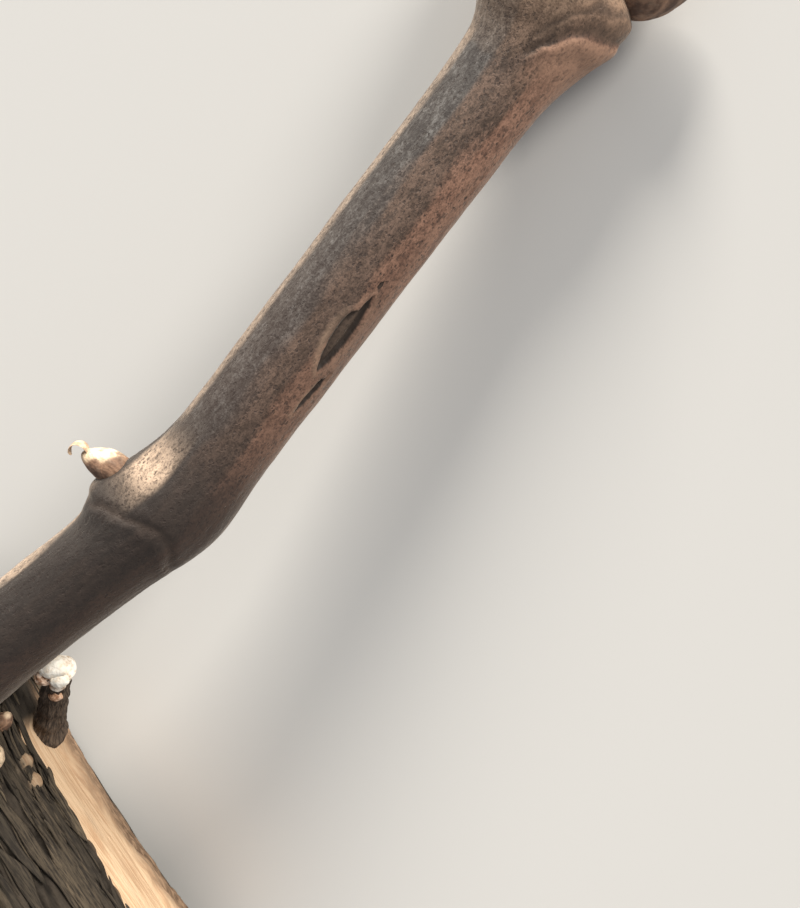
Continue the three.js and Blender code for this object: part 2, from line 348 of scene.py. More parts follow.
arm_bark = unrolled(12)
arm_path = straight(ARM["start"], ARM["heading"])


def wander(s, a, octaves, seed):
    """How far an edge of the bare strip strays, in degrees."""
    return BARE["wander"] * fractal(np.stack([s / 9, a / 14, np.zeros_like(s)], axis=-1), octaves, seed)


def bare_edge(s, a):
    """The side, in degrees, where the bare strip begins: a slanting line that wanders."""
    return BARE["near"] + BARE["near_slope"] * s + wander(s, a, 4, 11)


def bark_cover(s, a):
    """1 where the old bark is still on the arm and 0 on the bare strip, whose far edge is softer."""
    far_edge = BARE["far"] + BARE["far_slope"] * s + wander(s, a, 3, 12)
    near = smooth((bare_edge(s, a) - a) / BARE["edge"] + 0.5)
    far = smooth((a - far_edge) / (3 * BARE["edge"]) + 0.5)
    return np.maximum(np.maximum(near, far), smooth((s - BARE["end"]) / 2.2))


def arm_dome(s):
    """The share of its radius that the arm keeps where the head closes over, as on a ball."""
    past = np.clip((s - (ARM["length"] - ARM["dome"])) / ARM["dome"], 0, 1)
    return np.sqrt(1 - past ** 2)


def arm_wood_radius(s, a):
    """How far out the wood is: the oval section and the burls of the head."""
    r = ARM["radius"] + ARM["oval"] * np.cos(2 * np.radians(a))
    return r + sum(burl["rise"] * mound(s, a, burl) for burl in BURLS)


def bark_depth(s, a):
    """How thick the bark is in mm: it has worn thin beside the far edge of the bare strip."""
    return BARK_THICK * (1 - WORN["share"] * mound(s, a, WORN))


def arm_relief(s, a):
    """The bark in mm above its mean: plates parted by fissures, which are the lines where a noise
    passes through 0, and fibres over them."""
    bent = a + 9 * noise(arm_bark(s, a, 10, 14), 20)
    relief = 0.25 + 0.16 * fractal(arm_bark(s, bent, 0.6, 5), 2, 25)
    for f in FISSURES:
        field = noise(arm_bark(s, bent, f["across"], f["along"]), f["seed"])
        line = smooth(1 - np.abs(field) / f["half"])
        relief += f["step"] * np.sign(field) * smooth(np.abs(field) / 0.3) - f["deep"] * line
    return relief


def arm_surface(s, a):
    """The arm's finished radius, and the cover and relief of bark behind it. The bark curls up at the
    bare strip and has a split beside it, and torn nubs of wood stand at the strip's upper end."""
    cover = bark_cover(s, a)
    relief = arm_relief(s, a)
    curl = 0.35 * bell((cover - 0.75) / 0.25)
    beside = a - bare_edge(s, a) + SPLIT["beside"] + 1.5 * noise(arm_bark(s, a, 1.5, 4), 37)
    split = SPLIT["deep"] * bell(beside / SPLIT["half"]) * between(s, -2, BARE["end"] + 0.5, 4, 4)
    bark = bark_depth(s, a) + 0.85 * relief + curl - split
    wood = 0.05 * fractal(arm_bark(s, a, 0.32, 9), 3, 31) + 0.14 * noise(arm_bark(s, a, 1.6, 22), 34)
    r = arm_wood_radius(s, a) + cover * bark + (1 - cover) * wood
    for nub in NUBS:
        beside = np.radians(a - nub["side"]) * ARM["radius"]
        off = np.hypot((s - nub["at"]) / NUB["long"], beside / NUB["wide"])
        off = off + 0.4 * noise(arm_bark(s, a, 0.7, 0.7), 38)
        r = r + NUB["rise"] * smooth((1.3 - off) / 0.9)
        cover = cover * (1 - 0.55 * smooth((1.3 - off) / 0.6))
    return r * arm_dome(s), cover, relief


def drying_checks(share, a):
    """1 along the cracks of the sawn face: lines out from its middle that waver as they go."""
    total = np.zeros_like(share)
    for check in CHECKS:
        off = turn(a + 3 * np.sin(share * 9 + check["side"]), check["side"]) * share
        total += bell(off / CHECK_HALF) * between(share, check["near"], check["far"], 0.15, 0.25)
    return total


# The arm's side, in rings that lie closer together where the head closes over.
arm_columns = np.linspace(0, 360, ARM_COLUMNS, endpoint=False)
arm_rings = ARM["length"] * np.sin(np.linspace(0, np.pi / 2, ARM_ROWS)) ** 1.08
arm_s, arm_a = np.meshgrid(arm_rings, arm_columns, indexing="ij")
arm_radius, cover, relief = arm_surface(arm_s, turn(arm_a))
arm_side = around(arm_path, arm_s, arm_a, arm_radius)

# The sawn end: rings of points on its flat face, from near the pith to the rim.
face_rings = np.linspace(0.02, 1, SAWN_ROWS, endpoint=False) ** 0.8
face_share, face_a = np.meshgrid(face_rings, arm_columns, indexing="ij")
rim = arm_radius[0] * face_share
checks = drying_checks(face_share, face_a)
saw_lines = [rim * np.cos(np.radians(face_a)) / 0.5, rim / 40, np.zeros_like(rim)]
saw_marks = noise(np.stack(saw_lines, axis=-1), 40)
sawn_face = around(arm_path, 0.05 * saw_marks + CHECK_DEEP * checks, face_a, rim)
arm_points = np.concatenate([sawn_face, arm_side])

# The healed pruning cut: what stands past its plane is pressed back on to it, with a rolled rim.
cut_centre, cut_along = arm_path(np.array(OLD_CUT["at"]))
cut_normal = leaning(cut_along, OLD_CUT["side"], OLD_CUT["tilt"])
from_cut = arm_points - cut_centre
beyond = from_cut @ cut_normal
off_middle = np.linalg.norm(from_cut - beyond[..., None] * cut_normal, axis=-1)
pressed = smooth(beyond / 0.9 + 0.2)
cut_relief = 0.35 * np.abs(noise(arm_points / 2.4, 44)) + 0.25 * bell((off_middle - OLD_CUT["rim"]) / 1.2)
cut_relief = cut_relief - 0.5 * bell(off_middle / 1.6)
arm_points += (pressed * (cut_relief - 0.2) - np.maximum(beyond, 0))[..., None] * cut_normal
arm_points[..., 2] = np.maximum(arm_points[..., 2], 0.0)


def stacked(face_value, side_value):
    """One layer over the rings of the arm's sawn face and then of its side."""
    on_face = np.broadcast_to(face_value, face_a.shape)
    return np.concatenate([on_face, np.broadcast_to(side_value, arm_a.shape)])


# Painted shade: the band past the bare strip is painted as wood darkened by shade.
brown_margin_shade = between(turn(arm_a), BROWN_MARGIN_SHADE["near"], BROWN_MARGIN_SHADE["far"], 6, 10)
arm_wood = shell("arm_wood", arm_points, {
    "bare": stacked(0.0, 1 - cover) * (1 - pressed),
    "relief": stacked(0.0, relief * cover),
    "brown_and_shade": stacked(0.0, brown_margin_shade * smooth((BROWN_MARGIN_SHADE["end"] - arm_s) / 6)),
    "cut": np.maximum(stacked(1.0, 0.0), pressed),
    "fresh": stacked(1.0, 0.0),
    "rim": stacked(rim, arm_radius),
    "outer": stacked(face_share, 1.0),
    "check": stacked(checks, 0.0),
    "grain": np.concatenate([arm_bark(rim, face_a), arm_bark(arm_s, arm_a)]),
})

BARK_TONES = {"dark": (33, 29, 25), "body": (60, 53, 45), "pale": (102, 90, 75)}
# The band past the bare strip: the wood's tone darkened with painted shade.
BROWN_MARGIN_SHADE_TONES = {"dark": (108, 86, 68), "pale": (164, 136, 110)}
WOOD_TONES = {"streak": (180, 146, 114), "bare": (208, 180, 148), "grey": (150, 140, 126)}
SAWN_TONES = {"dark": (150, 126, 98), "pale": (190, 167, 136), "ray": (112, 88, 64),
              "heart": (120, 92, 68), "pith": (88, 62, 44), "check": (50, 40, 32)}
OLD_CUT_TONES = {"dark": (58, 52, 46), "pale": (128, 119, 108)}


def group_start(name, inputs, output):
    """A node group under construction, with the sockets that it is given, and one value put out."""
    group = bpy.data.node_groups.new(name, "ShaderNodeTree")
    for key, kind in inputs.items():
        group.interface.new_socket(key, in_out="INPUT", socket_type=kind)
    group.interface.new_socket(output, in_out="OUTPUT", socket_type="NodeSocketFloat")
    nodes = Nodes(group)
    return nodes, nodes.node("NodeGroupInput").outputs


def fibre_pattern():
    """A node group for fibrous bark and wood: noise of so many cells to the mm across the grain, and
    so many along it."""
    inputs = {"Grain": "NodeSocketVector", "Across": "NodeSocketFloat", "Along": "NodeSocketFloat"}
    f, given = group_start("fibre streaks", inputs, "Streaks")
    across, along = given["Across"], given["Along"]
    stretch = f.node("ShaderNodeCombineXYZ", {"X": across, "Y": across, "Z": along}).outputs[0]
    drawn_out = f.vectors("MULTIPLY", given["Grain"], stretch)
    f.node("NodeGroupOutput", {"Streaks": f.cloud(drawn_out, 1.0, 5.0, 0.65)})
    return f.tree


FIBRES = fibre_pattern()


def streaks(f, grain, across, along):
    """The fibre group's streaks in a finish."""
    inputs = {"Grain": grain, "Across": across, "Along": along}
    return f.node("ShaderNodeGroup", inputs, node_tree=FIBRES).outputs["Streaks"]


def old_bark_colour(f, fine, broad):
    """Dark bark, paler on its ridges, and where it has worn thin a brown band: the wood's reddish
    tone darkened with painted shade.
    """
    ridge = f.span(f.ragged(f.layer("relief"), fine, 1.2), -0.9, 0.9)
    bark = f.mix(ridge, BARK_TONES["dark"], BARK_TONES["body"])
    bark = f.mix(f.span(f.times(broad, ridge), 0.38, 0.62, 0.0, 0.7), bark, BARK_TONES["pale"])
    brown_and_shade = f.mix(f.span(fine, 0.35, 0.65), BROWN_MARGIN_SHADE_TONES["dark"], BROWN_MARGIN_SHADE_TONES["pale"])
    return f.mix(f.times(f.layer("brown_and_shade"), 0.85), bark, brown_and_shade)


def sawn_colour(f, grain, spot, bark):
    """The sawn face: year rings that waver round a brown pith, dark rays and cracks, and the bark."""
    rim = f.layer("rim")
    years = f.node("ShaderNodeCombineXYZ", {"X": f.add(rim, f.times(spot, 1.2))}).outputs[0]
    rays = streaks(f, grain, 2.4, 0.10)
    face = f.mix(f.span(f.cloud(years, 1.5, 2.0), 0.4, 0.6), SAWN_TONES["dark"], SAWN_TONES["pale"])
    face = f.mix(f.span(rays, 0.5, 0.36, 0.0, 0.55), face, SAWN_TONES["ray"])
    face = f.mix(f.span(rim, 5.5, 3.0, 0.0, 0.4), face, SAWN_TONES["heart"])
    face = f.mix(f.span(rim, 1.0, 0.7), face, SAWN_TONES["pith"])
    face = f.mix(f.span(f.layer("outer"), 0.87, 0.90), face, bark)
    return f.mix(f.span(f.layer("check"), 0.2, 0.7), face, SAWN_TONES["check"])


def arm_finish():
    """Dark fibrous bark, bare tan wood in fine streaks that greys in places, the sawn face, and the
    old cut, which has weathered grey."""
    f = Finish("old wood")
    grain = f.layer("grain", "Vector")
    fine = streaks(f, grain, 5.0, 0.5)
    broad = streaks(f, grain, 1.3, 0.12)
    long = streaks(f, grain, 4.0, 0.16)
    spot = f.cloud(grain, 0.25)
    bark = old_bark_colour(f, fine, broad)
    wood = f.mix(f.span(long, 0.36, 0.6), WOOD_TONES["streak"], WOOD_TONES["bare"])
    wood = f.mix(f.span(broad, 0.5, 0.8, 0.0, 0.3), wood, WOOD_TONES["grey"])
    weathered = f.span(f.weighted((spot, 0.5), (fine, 0.5)), 0.35, 0.62)
    old_cut = f.mix(weathered, OLD_CUT_TONES["dark"], OLD_CUT_TONES["pale"])
    cuts = f.mix(f.layer("fresh"), old_cut, sawn_colour(f, grain, spot, bark))
    colour = f.mix(f.layer("cut"), f.mix(f.layer("bare"), bark, wood), cuts)
    height = f.weighted((fine, 0.8), (f.cloud(grain, 3.0), 0.4))
    return f.done(colour, f.span(fine, 0.2, 0.8, 0.75, 0.95), height, 0.25, specular=0.2)


arm_wood.data.materials.append(arm_finish())
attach(arm_wood, "root")
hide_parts("arm")

# Strips of dead bark that come away from the arm: each has split along its fibres into thin ribbons
# that still lie side by side, hold on in the middle and curl up at their ends.
STRIPS = table(
    "begin finish side width lift",
    (5, 31, 66, 2.2, 0.9),
    (2, 30, 33, 2.8, 0.7),
    (9, 40, 4, 3.4, 0.8),
    (1.5, 27, -32, 3.0, 1.1),
    (12, 38, -70, 3.4, 0.8),
    (4, 29, -108, 2.8, 0.6),
)
RIBBON = {"count": 7, "width": 0.85, "thick": 0.42, "rows": 44, "points": 12}
LOOSE_TONES = {"body": (55, 49, 41), "pale": (98, 86, 70)}


def bark_top(s, a):
    """The radius that loose bark lies at, just over the mean of the bark under it."""
    return (arm_wood_radius(s, a) + bark_depth(s, a) + 0.7) * arm_dome(s)


def ribbons(begin, finish, side, slope, width, lift, depth, kind, seed):
    """Thin closed ribbons along the arm, one for each begin. Each has a lens section of width by
    thick, tapered to both ends, wanders as it turns round the arm by slope for each mm, lies depth
    above the bark, and rises off it by up to lift at its ends."""
    rng = np.random.default_rng(seed)
    count = len(begin)
    given = np.broadcast_arrays(begin, finish, side, slope, width, lift, depth)
    begin, finish, side, slope, width, lift, depth = (value[:, None, None] for value in given)
    u = np.linspace(0.004, 0.996, kind["rows"])[None, :, None]
    v = (2 * np.pi * np.arange(kind["points"]) / kind["points"])[None, None, :]
    curl_begin, curl_end = rng.uniform(0.2, 1.0, (2, count, 1, 1))
    phase = rng.uniform(0, 2 * np.pi, (count, 1, 1))
    s = begin + (finish - begin) * u
    taper = np.clip(np.sin(np.pi * u), 0, 1) ** 0.45 * (1 + 0.22 * np.sin(9 * u + phase))
    across = np.sin(v) * width / 2 * taper
    through = np.cos(v) * kind["thick"] / 2 * np.sqrt(taper)
    middle = side + slope * (s - begin) + 1.6 * np.sin(0.23 * s + phase) + 0.5 * np.sin(0.9 * s + 2 * phase)
    rise = curl_begin * (1 - smooth(u / 0.3)) ** 1.5 + curl_end * (1 - smooth((1 - u) / 0.3)) ** 1.5
    top = bark_top(s, middle)
    s, a = np.broadcast_arrays(s, middle + np.degrees(across / top))
    return around(arm_path, s, a, top + depth + lift * rise + through), s, a


def loose_bark_finish():
    """Loose bark: grey-brown and fibrous, with paler weathered ribbons among the dark."""
    f = Finish("loose bark")
    fine = streaks(f, f.layer("grain", "Vector"), 6.0, 0.5)
    colour = f.mix(f.span(fine, 0.35, 0.65), BARK_TONES["dark"], LOOSE_TONES["body"])
    colour = f.mix(f.times(f.layer("tone"), f.span(fine, 0.35, 0.6, 0.0, 0.7)), colour, LOOSE_TONES["pale"])
    return f.done(colour, 0.85, fine, 0.2, specular=0.2)


loose_bark = loose_bark_finish()
for number, strip in enumerate(STRIPS, 1):
    rng = np.random.default_rng(70 + number)
    across = np.linspace(-0.5, 0.5, RIBBON["count"]) * (strip["width"] - RIBBON["width"])
    begins = strip["begin"] + rng.uniform(-0.6, 3.6, RIBBON["count"])
    ends = strip["finish"] - rng.uniform(-0.6, 4.6, RIBBON["count"])
    at_side = strip["side"] + np.degrees(across / ARM["radius"])
    widths = RIBBON["width"] * rng.uniform(0.7, 1.25, RIBBON["count"])
    lifts = strip["lift"] * rng.uniform(0.5, 1.5, RIBBON["count"])
    points, s, a = ribbons(begins, ends, at_side, 0.0, widths, lifts, 0.0, RIBBON, number)
    tone = np.broadcast_to(rng.uniform(0, 0.6, RIBBON["count"])[:, None, None], s.shape)
    piece = shell("bark_strip_%d_ribbons" % number, points, {"grain": arm_bark(s, a), "tone": tone})
    piece.data.materials.append(loose_bark)
    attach(piece, "root")
    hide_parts("bark_strip_%d" % number)

# The rest of the old bark's surface: shaggy flat ribbons that lie on one another, splinters along the
# bare strip's edge, and fine fibres that stand up between them.
SHAGGY = table(
    "name count half sides width lift thick rows points seed",
    ("bark_shags", 320, (3, 12), (-180, 180), (0.4, 1.7), (0.05, 0.55), 0.32, 26, 8, 90),
    ("bark_splinters", 60, (3, 9), (62, 82), (0.25, 0.8), (0.1, 0.7), 0.26, 26, 8, 93),
    ("bark_fibres", 300, (1.2, 6), (-180, 180), (0.14, 0.4), (0.0, 0.5), 0.18, 14, 6, 95),
)
SHAGGY_LIMITS = {"first": 0.3, "last": 51, "shortest": 1.5}
# No shag lies on the worn bark past the bare strip.
SHAG_FREE = {"side": 130, "half": 30, "end": 36}

for kind in SHAGGY:
    rng = np.random.default_rng(kind["seed"])
    middles = rng.uniform(-2, 49, kind["count"])
    halves = rng.uniform(*kind["half"], kind["count"])
    at_side = rng.uniform(*kind["sides"], kind["count"])
    slope = BARE["near_slope"] * bell((at_side - 85) / 30)
    begins = np.maximum(middles - halves, SHAGGY_LIMITS["first"])
    ends = np.minimum(middles + halves, SHAGGY_LIMITS["last"])
    stays = ends - begins > SHAGGY_LIMITS["shortest"]
    stays &= (np.abs(at_side - SHAG_FREE["side"]) > SHAG_FREE["half"]) | (begins > SHAG_FREE["end"])
    for place, shift in itertools.product((begins, (begins + ends) / 2, ends), (-1.5, 1.5)):
        stays &= bark_cover(place, turn(at_side + slope * (place - begins) + shift)) > 0.55
    begins, ends, at_side, slope = begins[stays], ends[stays], at_side[stays], slope[stays]
    count = len(begins)
    lifts = rng.uniform(*kind["lift"], count) * smooth(begins / 5 + 0.2) * smooth((56 - ends) / 8)
    widths = rng.uniform(*kind["width"], count)
    depths = rng.uniform(-0.45, 0.05, count)
    points, s, a = ribbons(begins, ends, at_side, slope, widths, lifts, depths, kind, kind["seed"] + 1)
    points[..., 2] = np.maximum(points[..., 2], 0.0)
    tone = np.broadcast_to(rng.uniform(0, 1, count)[:, None, None] ** 2, s.shape)
    piece = shell(kind["name"], points, {"grain": arm_bark(s, a), "tone": tone})
    piece.data.materials.append(loose_bark)
    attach(piece, "root")

# The cane: last year's shoot, ripened to smooth thin bark that is grey on its upper side and
# orange-brown below, with a swollen node at each bud, the shelf that the leaf stalk stood on, a wound
# where the bark has split along the cane, and a slanting cut at its outer end.
CANE = {"start": (-50.2, -27.5, 19.6), "radius": 4.85, "tip": 4.55, "collar": 1.4, "collar_reach": 6}
# Straight runs: length, heading and pitch. Each bend between two is eased over so many mm.
CANE_RUNS = [(36.6, 37.8, -6.2), (54.0, 53.1, -9.95), (18.4, 73.0, -1.5)]
CANE_BEND = 9
PATH_STEP = 0.25
# At each node, the side is the bud's. The leaf stalk's shelf is on that side and so high, with its top
# so many mm before the node, and it reaches over rise before its top and over drop past it.
NODES = table(
    "at side swelling shelf before rise drop",
    (35.4, -72, 0.6, 1.2, 4.0, 2.2, 2.8),
    (93.8, 98, 1.55, 1.15, 0.5, 2.6, 1.2),
)
LOWER_NODE, UPPER_NODE = NODES
NODE = {"reach": 5.0, "width": 40, "bridge": 0.7}
# Where the bark ends in an arched edge at each node: sides of the cane, and mm along it.
LOWER_EDGE = {"sides": (-75, -46, -26, 0, 22, 45, 62, 95), "from": -82, "to": 95, "ease": 20,
              "at": (29.8, 31.0, 32.7, 34.2, 35.0, 34.3, 32.8, 31.6)}
UPPER_EDGE = {"sides": (-10, 12, 22, 38, 54, 75, 99, 125), "from": 13, "to": 122, "ease": 12,
              "at": (85.6, 86.4, 87.9, 89.8, 91.0, 91.3, 92.0, 92.4)}
# Wounds: their half-length and half-width, how far they bow and slant, and how strong their lip is.
WOUNDS = table(
    "at side half wide deep bow slant lip",
    (59.4, 52, 4.5, 1.08, 0.55, -3, -1.0, 1),
    (53.3, 66, 2.9, 0.46, 0.5, 0, 5.5, 1),
    (64.9, 50, 0.6, 0.22, 0.2, 0, 0.0, 0),
)
TIP_CUT = {"slope": 22, "towards": -78, "short": 0.4, "pith": 0.30, "sunk": 0.35}
CANE_ROWS = 520
CANE_COLUMNS = 170
TIP_ROWS = 22

cane_bark = unrolled(4.8)


def bent_path(start, runs, bend):
    """A path of straight runs, with each change of heading and pitch eased in over the bend."""
    lengths, headings, pitches = np.array(runs).T
    ends = np.cumsum(lengths)
    at = np.arange(0, ends[-1] + 3, PATH_STEP)
    heading = np.full_like(at, headings[0])
    pitch = np.full_like(at, pitches[0])
    for k in range(1, len(runs)):
        eased = smooth((at - ends[k - 1]) / bend + 0.5)
        heading += (headings[k] - headings[k - 1]) * eased
        pitch += (pitches[k] - pitches[k - 1]) * eased
    ways = way(heading, pitch)
    gone = np.cumsum(ways * PATH_STEP, 0)[:-1]
    centres = np.array(start) - MIDDLE + np.concatenate([np.zeros((1, 3)), gone])

    def path(s):
        centre = np.stack([np.interp(s, at, centres[:, k]) for k in range(3)], axis=-1)
        along = np.stack([np.interp(s, at, ways[:, k]) for k in range(3)], axis=-1)
        return centre, along / np.linalg.norm(along, axis=-1, keepdims=True)

    return path, ends[-1]


cane_path, cane_length = bent_path(CANE["start"], CANE_RUNS, CANE_BEND)


def cane_body(s, a):
    """The cane's radius: taper, collar, swollen nodes, and the shelf on the bud's side of each."""
    r = CANE["radius"] + (CANE["tip"] - CANE["radius"]) * s / cane_length
    r = r + CANE["collar"] * np.exp(-s / CANE["collar_reach"])
    for node in NODES:
        swelling = bell((s - node["at"]) / NODE["reach"])
        on_side = bell(turn(a, node["side"]) / NODE["width"])
        past = s - node["at"] + node["before"]
        shelf = node["shelf"] * bell(past / np.where(past < 0, node["rise"], node["drop"]))
        r = r + node["swelling"] * swelling + on_side * (shelf + NODE["bridge"] * swelling)
    return r


def wound_share(wound, s, a):
    """1 in the middle of a boat-shaped wound, falling through 0 at its edge: pointed at both ends, and
    narrower on its left past the step in its edge. Also how far along it a point is, from -1 to 1,
    and how far to its right in mm."""
    d = (s - wound["at"]) / wound["half"]
    middle = wound["side"] + wound["bow"] * (1 - d * d) + wound["slant"] * d
    off = np.radians(turn(a, middle)) * CANE["radius"]
    wide = wound["wide"] * np.maximum(1 - d * d, 0.0) ** 0.9
    wide = wide * np.where(off < 0, 1 - 0.6 * smooth((d - 0.45) / 0.1), 1.0)
    inside = (wide - np.abs(off)) / wound["wide"]
    outside = -np.hypot(off, 0.3) - 3 * (np.abs(d) - 1)
    return np.where(np.abs(d) < 1, inside, outside), d, off


def cane_wounds(s, a):
    """How far the wounds raise the cane, their share, and their lips: a healed rim, paler and wider on
    the left, round a hollow with a low ridge of wood in its middle."""
    raised = np.zeros_like(s)
    share = np.full_like(s, -9.0)
    lip = np.zeros_like(s)
    for wound in WOUNDS:
        depth, d, off = wound_share(wound, s, a)
        edge = depth + 0.10 * noise(cane_bark(s, a, 0.4, 1.3), 58)
        inside = smooth(edge * 2.4 + 0.1)
        left = smooth(0.5 - off / 0.6) * smooth((0.5 - d) / 0.9)
        raised += inside * (0.16 * bell((depth - 0.9) / 0.25) - wound["deep"])
        lip = np.maximum(lip, wound["lip"] * bell((edge + 0.3) / 0.28) * (0.35 + 0.65 * left))
        share = np.maximum(share, edge)
    return raised + 0.17 * lip, share, lip


def past_edge(s, a, edge):
    """How many mm a point is past an arched edge of the bark, and 1 on the sides that it runs round."""
    wobble = 0.35 * noise(cane_bark(s, a, 1.1, 1.1), 60)
    past = s - np.interp(turn(a), edge["sides"], edge["at"]) + wobble
    return past, between(a, edge["from"], edge["to"], edge["ease"], edge["ease"])


def node_folds(s, a):
    """How far the folds at the nodes raise the cane, and how deep in a groove a point is: a ridge with
    two grooves past it at the upper node, and a groove between two ridges at the lower one."""
    upper, on_upper = past_edge(s, a, UPPER_EDGE)
    lower, on_lower = past_edge(s, a, LOWER_EDGE)
    ridge = 0.24 * smooth((a - 10) / 34) * bell((upper + 0.6) / 0.8)
    raised = on_upper * (ridge - 0.20 * bell((upper - 0.4) / 0.5) - 0.09 * bell((upper - 2.1) / 0.4))
    ridges = 0.10 * bell((lower + 1.0) / 0.8) + 0.08 * bell((lower - 1.1) / 0.8)
    raised += on_lower * (ridges - 0.15 * bell(lower / 0.55))
    first = smooth((upper + 0.1) / 0.3) * bell((upper - 0.4) / 1.2)
    second = bell((upper - 2.1) / 0.35)
    low = 0.6 * on_lower * bell((lower - 0.1) / 0.6)
    return raised, np.maximum(on_upper * np.maximum(first, second), low)


def cane_zones(s, a):
    """The zones of colour on the cane, each 1 where its colour is full. Some run along it, with edges
    that wander with tone, and the others sit at its nodes."""
    upper, on_upper = past_edge(s, a, UPPER_EDGE)
    tone = a + 13 * noise(cane_bark(s, a, 1.3, 8), 63)
    edge_tone = 0.75 * a + 0.25 * tone
    node = smooth((upper - 0.1) / 0.4) * bell((s - UPPER_NODE["at"] - 3.8) / 8)
    below = on_upper * smooth((0.15 - upper) / 0.3) * bell(upper / 4.0) * smooth((a - 14) / 34)
    warm = smooth((tone - 22) / 32) * smooth((172 - np.abs(turn(a))) / 45)
    by_wound = 0.55 + 0.45 * between(s, 50, 67, 4, 4)
    # Painted highlights: pale patches on the cane's left side where the light falls, at the lower node, near
    # the foot and along the middle.
    lit_node = bell((s - LOWER_NODE["at"] - 3.0) / 3.0) * between(tone, -66, -6, 12, 14)
    lit_foot = between(tone, -112, -52, 14, 14) * smooth((33 - s) / 3)
    lit_edge = between(edge_tone, -80, -42, 12, 10) * between(s, 42, 90, 4, 4)
    return {
        "brown": np.maximum(smooth((tone + 14) / 30), 0.8 * smooth((-tone - 95) / 40)),
        "warm": np.maximum(warm * (1 - 0.75 * node), below),
        "stripe": bell((tone - 76) / 16) * (1 - node) * smooth((92 - s) / 4) * by_wound,
        "below": below,
        "node": node,
        # A leaf scar under the lip of the upper node's shelf, darkened with painted shade.
        "leaf_scar_and_shade": between(a, 99, 128, 9, 8) * bell((s - 90.9) / 1.9),
        "dim": smooth((80 - s) / 26),
        # Painted shade: the cane's lower part and lower node are darkened as if in shadow.
        "painted_shade": smooth((50 - s) / 12),
        "painted_highlight": np.maximum(np.maximum(lit_node, 0.8 * lit_foot), 0.52 * lit_edge),
    }


def cane_surface(s, a):
    """The cane's finished radius and the layers of its bark: fine lines and lumps, wounds and folds."""
    lines = fractal(cane_bark(s, a, 0.6, 9), 3, 51)
    lumps = noise(cane_bark(s, a, 2.6, 5), 55)
    fine = noise(cane_bark(s, a, 0.45, 1.1), 57)
    wound_raised, wound, lip = cane_wounds(s, a)
    fold_raised, groove = node_folds(s, a)
    r = cane_body(s, a) + 0.04 * lines + 0.08 * lumps + 0.02 * fine + wound_raised + fold_raised
    return r, {**cane_zones(s, a), "groove": groove, "lip": lip, "wound": wound}


cane_columns = np.linspace(0, 360, CANE_COLUMNS, endpoint=False)
slant = CANE["tip"] * np.tan(np.radians(TIP_CUT["slope"]))
short = TIP_CUT["short"] + slant * (1 + np.cos(np.radians(cane_columns - TIP_CUT["towards"])))
cane_s = np.linspace(0, 1, CANE_ROWS)[:, None] * (cane_length - short)
cane_a = np.broadcast_to(cane_columns, cane_s.shape)
cane_radius, bark_layers = cane_surface(cane_s, turn(cane_a))
cane_side = around(cane_path, cane_s, cane_a, cane_radius)

# The slanting cut: the rim drawn in to its middle in rings, with the pith sunk a little.
tip_rim = cane_side[-1]
tip_share = np.linspace(1, 0.02, TIP_ROWS + 1)[1:, None] * np.ones(CANE_COLUMNS)
tip_face = tip_rim.mean(0) + (tip_rim - tip_rim.mean(0)) * tip_share[..., None]
tip_out = leaning(cane_path(np.array(cane_length))[1], TIP_CUT["towards"], TIP_CUT["slope"])
tip_relief = 0.03 * noise(tip_face / 0.6, 66) - TIP_CUT["sunk"] * smooth((TIP_CUT["pith"] - tip_share) / 0.08)
tip_face = tip_face + tip_relief[..., None] * tip_out
tip_grain = cane_bark(np.full_like(tip_share, cane_length), cane_a[:TIP_ROWS]) * tip_share[..., None]
no_bark = np.zeros_like(tip_share)
cane_layers = {key: np.concatenate([value, no_bark]) for key, value in bark_layers.items()}
cane_layers["cut"] = np.concatenate([np.zeros_like(cane_s), np.ones_like(tip_share)])
cane_layers["rim"] = np.concatenate([np.ones_like(cane_s), tip_share])
cane_layers["grain"] = np.concatenate([cane_bark(cane_s, cane_a), tip_grain])
cane_skin = shell("cane_skin", np.concatenate([cane_side, tip_face]), cane_layers)

CANE_TONES = {
    "grey": [(48, 43, 41), (80, 76, 73), (116, 114, 112)],
    "brown": [(68, 55, 46), (110, 90, 78)],
    "warm": [(104, 75, 61), (156, 119, 99)],
    "stripe": (152, 121, 102),
    "below": (184, 146, 120),
    "node": [(112, 88, 70), (166, 138, 113)],
    # Leaf scar, darkened with painted shade.
    "leaf_scar_and_shade": (84, 54, 44),
    "dim": (68, 53, 45),
    # Painted shade on the cane's lower part.
    "painted_shade": (42, 37, 34),
    # Painted highlight on the cane's left side.
    "painted_highlight": (208, 182, 158),
    "pore": (46, 37, 33),
    "groove": (70, 58, 50),
    "lip": (160, 134, 112),
    "wound": [(46, 37, 31), (86, 71, 60)],
}
TIP_TONES = {"wood": [(150, 132, 104), (182, 165, 134)], "pith": (120, 84, 56), "bark": (78, 62, 48)}


def pore_pattern():
    """A node group for ripened cane bark: small dark pores of many sizes, each in a cell of its own,
    with ragged edges. Size is the largest pore's share of its cell."""
    inputs = {"Grain": "NodeSocketVector", "Size": "NodeSocketFloat"}
    f, given = group_start("bark pores", inputs, "Pores")
    uneven = f.node("ShaderNodeTexNoise", {"Vector": given["Grain"], "Scale": 4.0}).outputs["Color"]
    nudged = f.vectors("MULTIPLY_ADD", uneven, (0.3, 0.3, 0.3), given["Grain"])
    drawn_out = f.vectors("MULTIPLY", nudged, (1.0, 1.0, 0.66))
    cells = f.node("ShaderNodeTexVoronoi", {"Vector": drawn_out, "Scale": 3.3}).outputs
    chance = f.node("ShaderNodeSeparateColor", {0: cells["Color"]}).outputs[0]
    radius = f.times(f.math("POWER", chance, 1.1), given["Size"])
    f.node("NodeGroupOutput", {"Pores": f.span(f.math("SUBTRACT", radius, cells["Distance"]), 0.0, 0.26)})
    return f.tree


PORES = pore_pattern()


